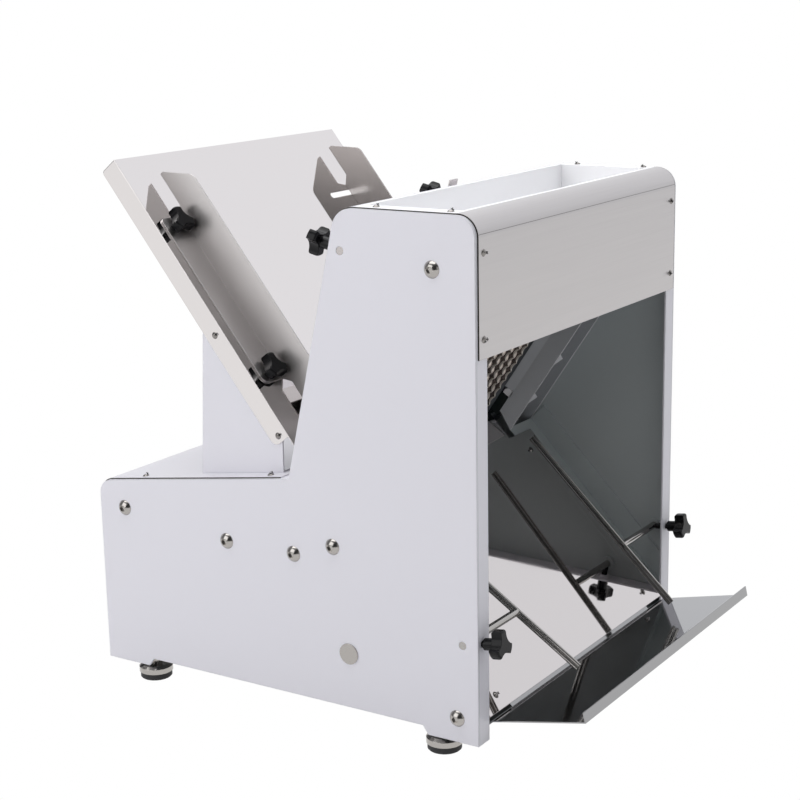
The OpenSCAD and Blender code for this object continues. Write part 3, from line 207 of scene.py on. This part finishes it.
def dark_seams(mat, color, sheet, crease_down=None):
    """Darkens the edges of a sheet against the side panels, and a crease below its top, as painted shade.
    """
    low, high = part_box(sheet)
    seam = math_node(mat, "GREATER_THAN", from_middle(mat), high[0] - SEAM_W)
    if crease_down:
        split = add(mat, "ShaderNodeSeparateXYZ")
        link(mat, coordinates(mat, EVEN), split.inputs[0])
        away = math_node(mat, "SUBTRACT", split.outputs["Z"], high[2] - crease_down)
        crease = math_node(mat, "LESS_THAN", math_node(mat, "ABSOLUTE", away), CREASE_W / 2)
        seam = math_node(mat, "MAXIMUM", seam, math_node(mat, "MULTIPLY", crease, CREASE_SHADE))
    link(mat, mixed_color(mat, seam, color, PAINTED_SEAM_SHADE), surface(mat).inputs["Base Color"])


def orange_peel(mat, radius):
    rounded_edges(mat, radius, noise(mat, EVEN, PEEL_PER_M), PEEL_STRENGTH, PEEL_HEIGHT)


def powder_coat(name, color):
    return shader(name, color, roughness=COAT_ROUGHNESS, Coat_Weight=0.12, Coat_Roughness=0.2)


def panel_coat():
    """Lavender white powder coat; the panels' inner faces get a darker grey green one, partly their own
    paint and partly painted shade of the inside.
    """
    mat = powder_coat("powder_coat", OUTER_PAINT)
    inner_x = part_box("right_side_panel")[1][0] - PANEL_T
    away = math_node(mat, "ABSOLUTE", math_node(mat, "SUBTRACT", from_middle(mat), inner_x))
    inner = math_node(mat, "LESS_THAN", away, INNER_FACE_HALF)
    link(mat, mixed_color(mat, inner, OUTER_PAINT, INNER_PAINT_AND_SHADE), surface(mat).inputs["Base Color"])
    orange_peel(mat, PANEL_BEND_R)
    return mat


def cover_coat_with_painted_light(name, color):
    mat = powder_coat(name, color)
    dark_seams(mat, color, "top_cover")
    orange_peel(mat, COVER_BEND_R)
    return mat


def inner_paint(name, color):
    mat = shader(name, color, roughness=INNER_ROUGHNESS)
    orange_peel(mat, PLATE_BEND_R)
    return mat


# Steels; a grain gives how fast the brush lines change along each axis
ALONG_X = (6, 1500, 1500)
ALONG_Z = (1500, 1500, 6)
GRAIN_DETAIL = 3.0
GRAIN_HEIGHT = 0.2 * MM
GRAIN_VARIES = 0.15
SMEARS_PER_M = 9
SMEARS_FROM = 0.5
SMEARS_TO = 0.8
APRON_COLOR = (0.55, 0.53, 0.53)
STEEL_EDGE_R = 0.7 * MM
STEEL_BEND_R = 1.2 * MM
KNOB_EDGE_R = 1.2 * MM


def steel(name, color, roughness, grain, grain_depth=0.0, smears=0.0, bend=STEEL_EDGE_R):
    mat = shader(name, color, metallic=1.0, roughness=roughness)
    lines = noise(mat, grain, 1.0, GRAIN_DETAIL)
    varied = spread(mat, lines, roughness * (1 - GRAIN_VARIES), roughness * (1 + GRAIN_VARIES))
    if smears:
        patches = spread(mat, noise(mat, EVEN, SMEARS_PER_M), 0.0, smears, SMEARS_FROM, SMEARS_TO)
        varied = math_node(mat, "ADD", varied, patches)
    link(mat, varied, surface(mat).inputs["Roughness"])
    rounded_edges(mat, bend, lines, grain_depth, GRAIN_HEIGHT)
    return mat


def polished(name, color, roughness):
    return steel(name, color, roughness, ALONG_X, 0.004, smears=0.05, bend=STEEL_BEND_R)


def apron_steel():
    mat = steel("apron_steel", APRON_COLOR, 0.36, ALONG_X, 0.03)
    # Painted shade along the apron's edges and along the crease where its bend begins
    dark_seams(mat, APRON_COLOR, "front_apron", CREASE_DOWN)
    return mat


def glossy_plastic(name, color):
    mat = shader(name, color, roughness=0.20, Specular_IOR_Level=0.18)
    rounded_edges(mat, KNOB_EDGE_R)
    return mat


mats = {
    "powder": panel_coat(),
    "cover": cover_coat_with_painted_light("cover_coat_with_painted_light", TOP_PAINT_LIT),
    "rear": cover_coat_with_painted_light("rear_coat_shaded", REAR_PAINT_SHADED),
    # Inner parts: grey green paint darkened with painted shade
    "inner": inner_paint("inner_paint", INNER_PAINT_AND_SHADE),
    "apron": apron_steel(),
    "satin": steel("satin_steel", (0.52, 0.49, 0.48), 0.20, ALONG_Z, 0.015, smears=0.08),
    # The left feed guide's copy of the satin steel: rougher, and lighter as painted light
    "lit_satin": steel("lit_satin_steel", (0.60, 0.575, 0.57), 0.36, ALONG_Z, 0.015, smears=0.08),
    "chute": polished("chute_steel", (0.74, 0.71, 0.705), 0.03),
    "mirror": polished("mirror_steel", (0.63, 0.60, 0.595), 0.03),
    # The lip tray's polished steel, darker than the chute's copy as painted shade
    "lip": polished("lip_steel_shaded", (0.33, 0.33, 0.335), 0.04),
    "bolt": steel("bolt_steel", (0.42, 0.40, 0.38), 0.16, ALONG_X),
    "screw": steel("screw_steel", (0.26, 0.245, 0.235), 0.16, ALONG_X),
    "wire": shader("wire_steel", (0.42, 0.405, 0.39), metallic=1.0, roughness=0.12),
    # One blade steel in two copies: dark on the flats as painted shade, light on the ground strips as
    # painted highlight
    "blade": steel("blade_flat_shaded_steel", (0.22, 0.20, 0.19), 0.25, ALONG_X),
    "ground": steel("ground_highlight_steel", (0.66, 0.61, 0.56), 0.36, ALONG_X),
    # The guards' grey is partly painted shade; their front edges, lugs and tab wear a lighter paint, which
    # on the edges is a painted highlight
    "guard": inner_paint("guard_paint_and_shade", (0.42, 0.435, 0.455)),
    "guard_highlight": inner_paint("guard_highlight_paint", (0.72, 0.72, 0.74)),
    "block": shader("block_plastic", (0.006, 0.010, 0.010), roughness=0.5, Specular_IOR_Level=0.25),
    "dark": shader("dark_paint", (0.10, 0.11, 0.12), roughness=0.5),
    # Painted shade for the screws' cross recesses
    "recess_shade": shader("recess_shade", (0.02, 0.02, 0.02), roughness=0.5),
    "black": glossy_plastic("black_plastic", (0.007, 0.007, 0.008)),
    "rubber": shader("black_rubber", (0.015, 0.015, 0.016), roughness=0.6),
    "green": glossy_plastic("green_plastic", (0.02, 0.25, 0.06)),
    "red": glossy_plastic("red_plastic", (0.45, 0.02, 0.02)),
}

# What each node wears
WEARS = {
    "powder": ["left_side_panel", "right_side_panel", "chute_supports"],
    "cover": ["top_cover"],
    "rear": ["deck", "rear_cover", "rear_hood"],
    "inner": ["rod_collars", "slide_rails", "left_blade_guard", "right_blade_guard"],
    "apron": ["front_apron"],
    "lit_satin": ["left_feed_guide"],
    "satin": ["right_feed_guide", "gate_plate", "hold_down", "crumb_drawer"],
    "chute": ["feed_chute"],
    "mirror": ["discharge_slide"],
    "lip": ["lip_tray"],
    "bolt": ["panel_bolts", "foot_cups", "access_plug", "left_guide_nuts", "right_guide_nuts", "tie_bars"],
    "wire": ["left_discharge_guide", "right_discharge_guide"],
    "screw": ["sheet_screws"],
    "dark": [
        "base_plate", "left_frame_plate", "right_frame_plate", "motor_plate", "motor", "motor_pulley",
        "crank_bearings", "crankshaft", "crank_pulley", "front_connecting_rod", "rear_connecting_rod",
        "front_blade_frame", "rear_blade_frame"],
    "black": [
        "upper_left_feed_knob", "lower_left_feed_knob", "upper_right_feed_knob", "lower_right_feed_knob",
        "left_front_knob", "right_front_knob", "left_rear_knob", "right_rear_knob", "gate_knob",
        "guide_blocks", "cable_gland", "switch_box"],
    "rubber": ["foot_pads", "v_belt"],
    "green": ["start_button"],
    "red": ["stop_button"],
}


def dress():
    for finish, names in WEARS.items():
        for name in names:
            mesh = nodes[name].data
            mesh.materials.clear()
            mesh.materials.append(mats[finish])


# Pieces that lie along the blades
BLADE_TILT = math.radians(34)
BLADE_ACROSS = Vector((0, math.cos(BLADE_TILT), math.sin(BLADE_TILT)))
BLADE_ALONG = Vector((0, -math.sin(BLADE_TILT), math.cos(BLADE_TILT)))


def world_points(name):
    piece = nodes[name]
    return [piece.matrix_world @ v.co for v in piece.data.vertices]


def reach(points, direction):
    found = [p.dot(direction) for p in points]
    return min(found), max(found)


# Place of the plane between the two blade frames
PLANE_AT = sum(sum(reach(world_points(name), BLADE_ACROSS)) for name in ("front_blades", "rear_blades")) / 4


def at_blades(x, across, along):
    return Vector((x, 0, 0)) + (PLANE_AT + across) * BLADE_ACROSS + along * BLADE_ALONG


def piece_from(mesh, name, body, stands_for, slot_name, *finishes):
    bmesh.ops.recalc_face_normals(mesh, faces=mesh.faces)
    data = bpy.data.meshes.new(name)
    mesh.to_mesh(data)
    mesh.free()
    made = bpy.data.objects.new(name, data)
    bpy.context.collection.objects.link(made)
    for finish in finishes:
        data.materials.append(mats[finish])
    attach(made, body)
    if stands_for:
        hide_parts(stands_for)


# Blades with hollow ground scallops, in place of the plain ones
PLAIN_END = 10 * MM
SCALLOP_LEN = 15.5 * MM
SCALLOP_DEPTH = 2 * MM
SCALLOP_STEPS = 8
GROUND_W = 2.8 * MM
GROUND_TIP = 0.5 * MM
HOLLOW_AT = 0.3
HOLLOW_LEFT = 0.45
# The two sides of a blade's outline that aren't ground
FLAT_SIDES = (4, 9)
MICRON_PLACES = 6


def blade_rows(low, high):
    """Places along a blade, each with the scallop's depth and the ground strip's width."""
    count = math.floor((high - low - 2 * PLAIN_END) / SCALLOP_LEN)
    start, step = low + PLAIN_END, (high - low - 2 * PLAIN_END) / count / SCALLOP_STEPS
    rows = [(low, 0, GROUND_TIP)]
    for i in range(count * SCALLOP_STEPS + 1):
        bow = 1 - (2 * (i % SCALLOP_STEPS) / SCALLOP_STEPS - 1) ** 2
        rows.append((start + i * step, SCALLOP_DEPTH * bow, GROUND_TIP + GROUND_W * math.sqrt(bow)))
    return rows + [(high, 0, GROUND_TIP)]


def blade_section(left, right, half, depth, ground):
    """Outline of a blade's cut: a flat, a hollow and the edge on each side."""
    middle, edge = (left + right) / 2, half - depth
    flat = edge - ground
    hollow = flat + HOLLOW_AT * ground
    thin = HOLLOW_LEFT * (right - left) / 2
    lower = [(left, -flat), (middle - thin, -hollow), (middle, -edge), (middle + thin, -hollow)]
    upper = [(right, flat), (middle + thin, hollow), (middle, edge), (middle - thin, hollow)]
    return lower + [(right, -flat)] + upper + [(left, flat)]


def blade_mesh(name, body):
    points = world_points(name)
    low, high = reach(points, BLADE_ACROSS)
    middle, half = (low + high) / 2 - PLANE_AT, (high - low) / 2
    sides = sorted({round(p.x, MICRON_PLACES) for p in points})
    rows = blade_rows(*reach(points, BLADE_ALONG))
    mesh = bmesh.new()
    for left, right in zip(sides[0::2], sides[1::2]):
        last = None
        for s, depth, ground in rows:
            section = blade_section(left, right, half, depth, ground)
            ring = [mesh.verts.new(at_blades(x, middle + q, s)) for x, q in section]
            if last is None:
                mesh.faces.new(ring)
            else:
                for i in range(len(ring)):
                    j = (i + 1) % len(ring)
                    face = mesh.faces.new((last[i], last[j], ring[j], ring[i]))
                    # Flats take the painted shade, ground strips the painted highlight
                    face.material_index = 0 if i in FLAT_SIDES else 1
            last = ring
        mesh.faces.new(list(reversed(last)))
    piece_from(mesh, name + "_ground", body, name, "brushed_steel", "blade", "ground")


# Blade guards as channels that are open in front, in place of the plain ones
# Each Q lies across the blades from the middle plane; lows and tips are counted down from the guard's top.
GUARD_T = 1.5 * MM
GUARD_LOW = 316 * MM
GUARD_FACE_X = 190 * MM
GUARD_LIP_X = 184.5 * MM
GUARD_LIP_Q = -16 * MM
GUARD_LIP_LOW = 276.5 * MM
GUARD_WEB_Q = -29.8 * MM
GUARD_FRONT_Q = -57 * MM
GUARD_PANEL_Q = -49.5 * MM
GUARD_SKEW = 12 * MM
GUARD_EDGE = 0.8 * MM
GUARD_TAB_QS = (-17 * MM, -21 * MM)
GUARD_TAB_LOW = 289 * MM
GUARD_TAB_CORNER = 5 * MM
LUG_TIPS = (270 * MM, 197 * MM)
LUG_LEN = 22 * MM
LUG_UP = 13 * MM
LUG_DOWN = 6 * MM


def prism(mesh, corners, shift, finish=0):
    """A plate from its corners, thickened along one direction."""
    near = [mesh.verts.new(c) for c in corners]
    far = [mesh.verts.new(c + shift) for c in corners]
    faces = [mesh.faces.new(near), mesh.faces.new(list(reversed(far)))]
    for i in range(len(near)):
        j = (i + 1) % len(near)
        faces.append(mesh.faces.new((near[j], near[i], far[i], far[j])))
    for face in faces:
        face.material_index = finish


def guard_mesh(node, side):
    points = world_points(node)
    low, high = reach(points, BLADE_ALONG)
    panel_x = max(abs(p.x) for p in points)
    out, back = Vector((side * GUARD_T, 0, 0)), GUARD_T * BLADE_ACROSS
    face_low, lip_low = high - GUARD_LOW, high - GUARD_LIP_LOW
    mesh = bmesh.new()

    def at(x, q, s):
        return at_blades(side * x, q, s)

    def strip(first, second, starts, shift, finish=0):
        corners = [at(*first, starts[0]), at(*second, starts[1]), at(*second, high), at(*first, high)]
        prism(mesh, corners, shift, finish)

    front_low = face_low - GUARD_SKEW
    edge_q = GUARD_FRONT_Q - GUARD_EDGE
    strip((GUARD_LIP_X, GUARD_LIP_Q), (GUARD_FACE_X, GUARD_WEB_Q), (lip_low, lip_low), out)
    strip((GUARD_FACE_X, GUARD_WEB_Q), (GUARD_FACE_X, GUARD_FRONT_Q), (face_low, front_low), out)
    # A thin strip of painted highlight along the face's front edge
    strip((GUARD_FACE_X, GUARD_FRONT_Q), (GUARD_FACE_X, edge_q), (front_low, front_low), out, 1)
    strip((GUARD_FACE_X, GUARD_WEB_Q), (panel_x, GUARD_WEB_Q), (face_low, low), back)
    wall_x = panel_x - GUARD_T
    strip((wall_x, GUARD_WEB_Q), (wall_x, GUARD_PANEL_Q), (low, low), out)
    # A thin strip of painted highlight along the outer wall's edge
    strip((wall_x, GUARD_PANEL_Q), (wall_x, GUARD_PANEL_Q - GUARD_EDGE), (low, low), out, 1)
    # Lugs and the tab below take the same lighter paint
    for tip in LUG_TIPS:
        s = high - tip
        corners = [
            at(GUARD_FACE_X + GUARD_T, edge_q, s + LUG_UP),
            at(GUARD_FACE_X + LUG_LEN, edge_q, s),
            at(GUARD_FACE_X + GUARD_T, edge_q, s - LUG_DOWN)]
        prism(mesh, corners, back, 1)
    tab_low, tab_high = high - GUARD_TAB_LOW, lip_low - GUARD_T
    outline = [
        (GUARD_WEB_Q, tab_low), (GUARD_WEB_Q, tab_high), (GUARD_TAB_QS[1], tab_high),
        (GUARD_TAB_QS[0], tab_high - GUARD_TAB_CORNER), (GUARD_TAB_QS[0], tab_low)]
    prism(mesh, [at(GUARD_FACE_X, q, s) for q, s in outline], out, 1)
    piece_from(mesh, node + "_folded", "housing", node, "inner_paint", "guard", "guard_highlight")


# Guide blocks with a lower front, so that the guards pass before them
BLOCK_FRONT_Q = -28.8 * MM


def block_mesh():
    points = world_points("guide_blocks")
    mesh = bmesh.new()
    mesh.from_mesh(nodes["guide_blocks"].data)
    for vert, point in zip(mesh.verts, points):
        short = BLOCK_FRONT_Q - (point.dot(BLADE_ACROSS) - PLANE_AT)
        vert.co = point + max(short, 0) * BLADE_ACROSS
    piece_from(mesh, "guide_blocks_low", "housing", "guide_blocks", "black_plastic", "block")


# Cross recesses of the sheet screws, drawn as thin dark crosses of painted shade
RECESS_LEN = 4.4 * MM
RECESS_W = 1.0 * MM
RECESS_T = 0.3 * MM
RECESS_SUNK = 0.03 * MM
RIM_SHARE = 0.98


def islands(mesh):
    """The vertices of each separate part of a mesh, in the mesh's own order."""
    source = bmesh.new()
    source.from_mesh(mesh)
    taken = set()
    found = []
    for first in source.verts:
        if first in taken:
            continue
        taken.add(first)
        part, todo = [], [first]
        while todo:
            vert = todo.pop()
            part.append(vert.co.copy())
            for edge in vert.link_edges:
                other = edge.other_vert(vert)
                if other not in taken:
                    taken.add(other)
                    todo.append(other)
        found.append(part)
    source.free()
    return found


def average(points):
    return sum(points, Vector()) / len(points)


def screw_recesses():
    chance = random.Random(5)
    mesh = bmesh.new()
    for part in islands(nodes["sheet_screws"].data):
        middle = average(part)
        far = max((p - middle).length for p in part)
        rim = [p for p in part if (p - middle).length > RIM_SHARE * far]
        axis = (middle - average(rim)).normalized()
        top = max((p - middle).dot(axis) for p in part)
        turn = axis.to_track_quat("Z", "Y").to_matrix().to_4x4()
        place = Matrix.Translation(middle + (top - RECESS_SUNK - RECESS_T / 2) * axis) @ turn
        place = place @ Matrix.Rotation(chance.uniform(0, math.pi), 4, "Z")
        for size in ((RECESS_LEN, RECESS_W, RECESS_T), (RECESS_W, RECESS_LEN, RECESS_T)):
            bmesh.ops.create_cube(mesh, size=1, matrix=place @ Matrix.Diagonal((*size, 1)))
    piece_from(mesh, "screw_recesses", "housing", None, "inner_paint", "recess_shade")


# Floor and light
FLOOR_SIZE = 12
FLOOR_TONE = (0.72, 0.72, 0.725)
AIR_TONE = (0.96, 0.97, 1.0)
# A soft patch each: its direction, the dots where it starts and is full, and the levels there
BRIGHT_PATCH = ((0.78, 0, 0.5), 0.3, 0.9, 0.3, 1.03)
SHADE_PATCH = ((-0.75, -0.65, 0), 0.3, 0.85, 1, 0.2)
# Lamps: place, aim, size and watts
LAMPS = {
    "left": ((-2.5, 0.9, 1.5), (0, 0.1, 0.3), (2.6, 2.4), 34),
    "front": ((-0.6, -2.5, 1.0), (0, 0, 0.3), (2.0, 1.6), 5),
    "top": ((0, 0.4, 3.0), (0, 0, 0), (2.8, 2.8), 56),
}


def floor_plane():
    bpy.ops.mesh.primitive_plane_add(size=FLOOR_SIZE)
    plane = bpy.context.object
    plane.name = "floor"
    plane.data.materials.append(floor_material())


def floor_material():
    """Matt and pale; the camera and polished steel see it as white as the rest of the studio."""
    mat = shader("floor", FLOOR_TONE, roughness=0.9)
    path = add(mat, "ShaderNodeLightPath")
    seen = math_node(mat, "MAXIMUM", path.outputs["Is Camera Ray"], path.outputs["Is Glossy Ray"])
    white = add(mat, "ShaderNodeEmission")
    mix = add(mat, "ShaderNodeMixShader")
    link(mat, seen, mix.inputs["Fac"])
    link(mat, surface(mat).outputs["BSDF"], mix.inputs[1])
    link(mat, white.outputs["Emission"], mix.inputs[2])
    link(mat, mix.outputs["Shader"], mat.node_tree.nodes["Material Output"].inputs["Surface"])
    return mat


def area_light(name, place, target, size, power):
    data = bpy.data.lights.new(name, "AREA")
    data.shape = "RECTANGLE"
    data.size, data.size_y = size
    data.energy = power
    lamp = bpy.data.objects.new(name, data)
    bpy.context.collection.objects.link(lamp)
    lamp.location = place
    lamp.rotation_mode = "QUATERNION"
    lamp.rotation_quaternion = (Vector(target) - Vector(place)).to_track_quat("-Z", "Y")


def lobe(tree, direction, toward, start, end, low, high):
    """The studio's level in and around one direction."""
    dot = tree.nodes.new("ShaderNodeVectorMath")
    dot.operation = "DOT_PRODUCT"
    tree.links.new(direction, dot.inputs[0])
    dot.inputs[1].default_value = Vector(toward).normalized()
    ramp = tree.nodes.new("ShaderNodeMapRange")
    ramp.interpolation_type = "SMOOTHSTEP"
    for socket, value in zip(ramp.inputs[1:5], (start, end, low, high)):
        socket.default_value = value
    tree.links.new(dot.outputs["Value"], ramp.inputs["Value"])
    return ramp.outputs["Result"]


def light_room():
    world = bpy.data.worlds.new("studio")
    bpy.context.scene.world = world
    world.use_nodes = True
    tree = world.node_tree
    seen = tree.nodes["Background"]
    seen.inputs["Color"].default_value = (1, 1, 1, 1)
    fill = tree.nodes.new("ShaderNodeBackground")
    fill.inputs["Color"].default_value = (*AIR_TONE, 1)
    direction = tree.nodes.new("ShaderNodeTexCoord").outputs["Generated"]
    bright = lobe(tree, direction, *BRIGHT_PATCH)
    shade = lobe(tree, direction, *SHADE_PATCH)
    level = tree.nodes.new("ShaderNodeMath")
    level.operation = "MULTIPLY"
    tree.links.new(bright, level.inputs[0])
    tree.links.new(shade, level.inputs[1])
    tree.links.new(level.outputs[0], fill.inputs["Strength"])
    path = tree.nodes.new("ShaderNodeLightPath")
    mix = tree.nodes.new("ShaderNodeMixShader")
    tree.links.new(path.outputs["Is Camera Ray"], mix.inputs["Fac"])
    tree.links.new(fill.outputs["Background"], mix.inputs[1])
    tree.links.new(seen.outputs["Background"], mix.inputs[2])
    tree.links.new(mix.outputs["Shader"], tree.nodes["World Output"].inputs["Surface"])
    for name, values in LAMPS.items():
        area_light(name, *values)


dress()
blade_mesh("front_blades", "front_frame")
blade_mesh("rear_blades", "rear_frame")
guard_mesh("left_blade_guard", -1)
guard_mesh("right_blade_guard", 1)
block_mesh()
screw_recesses()
place_camera()
light_room()
floor_plane()

bpy.context.scene.view_settings.view_transform = "Standard"
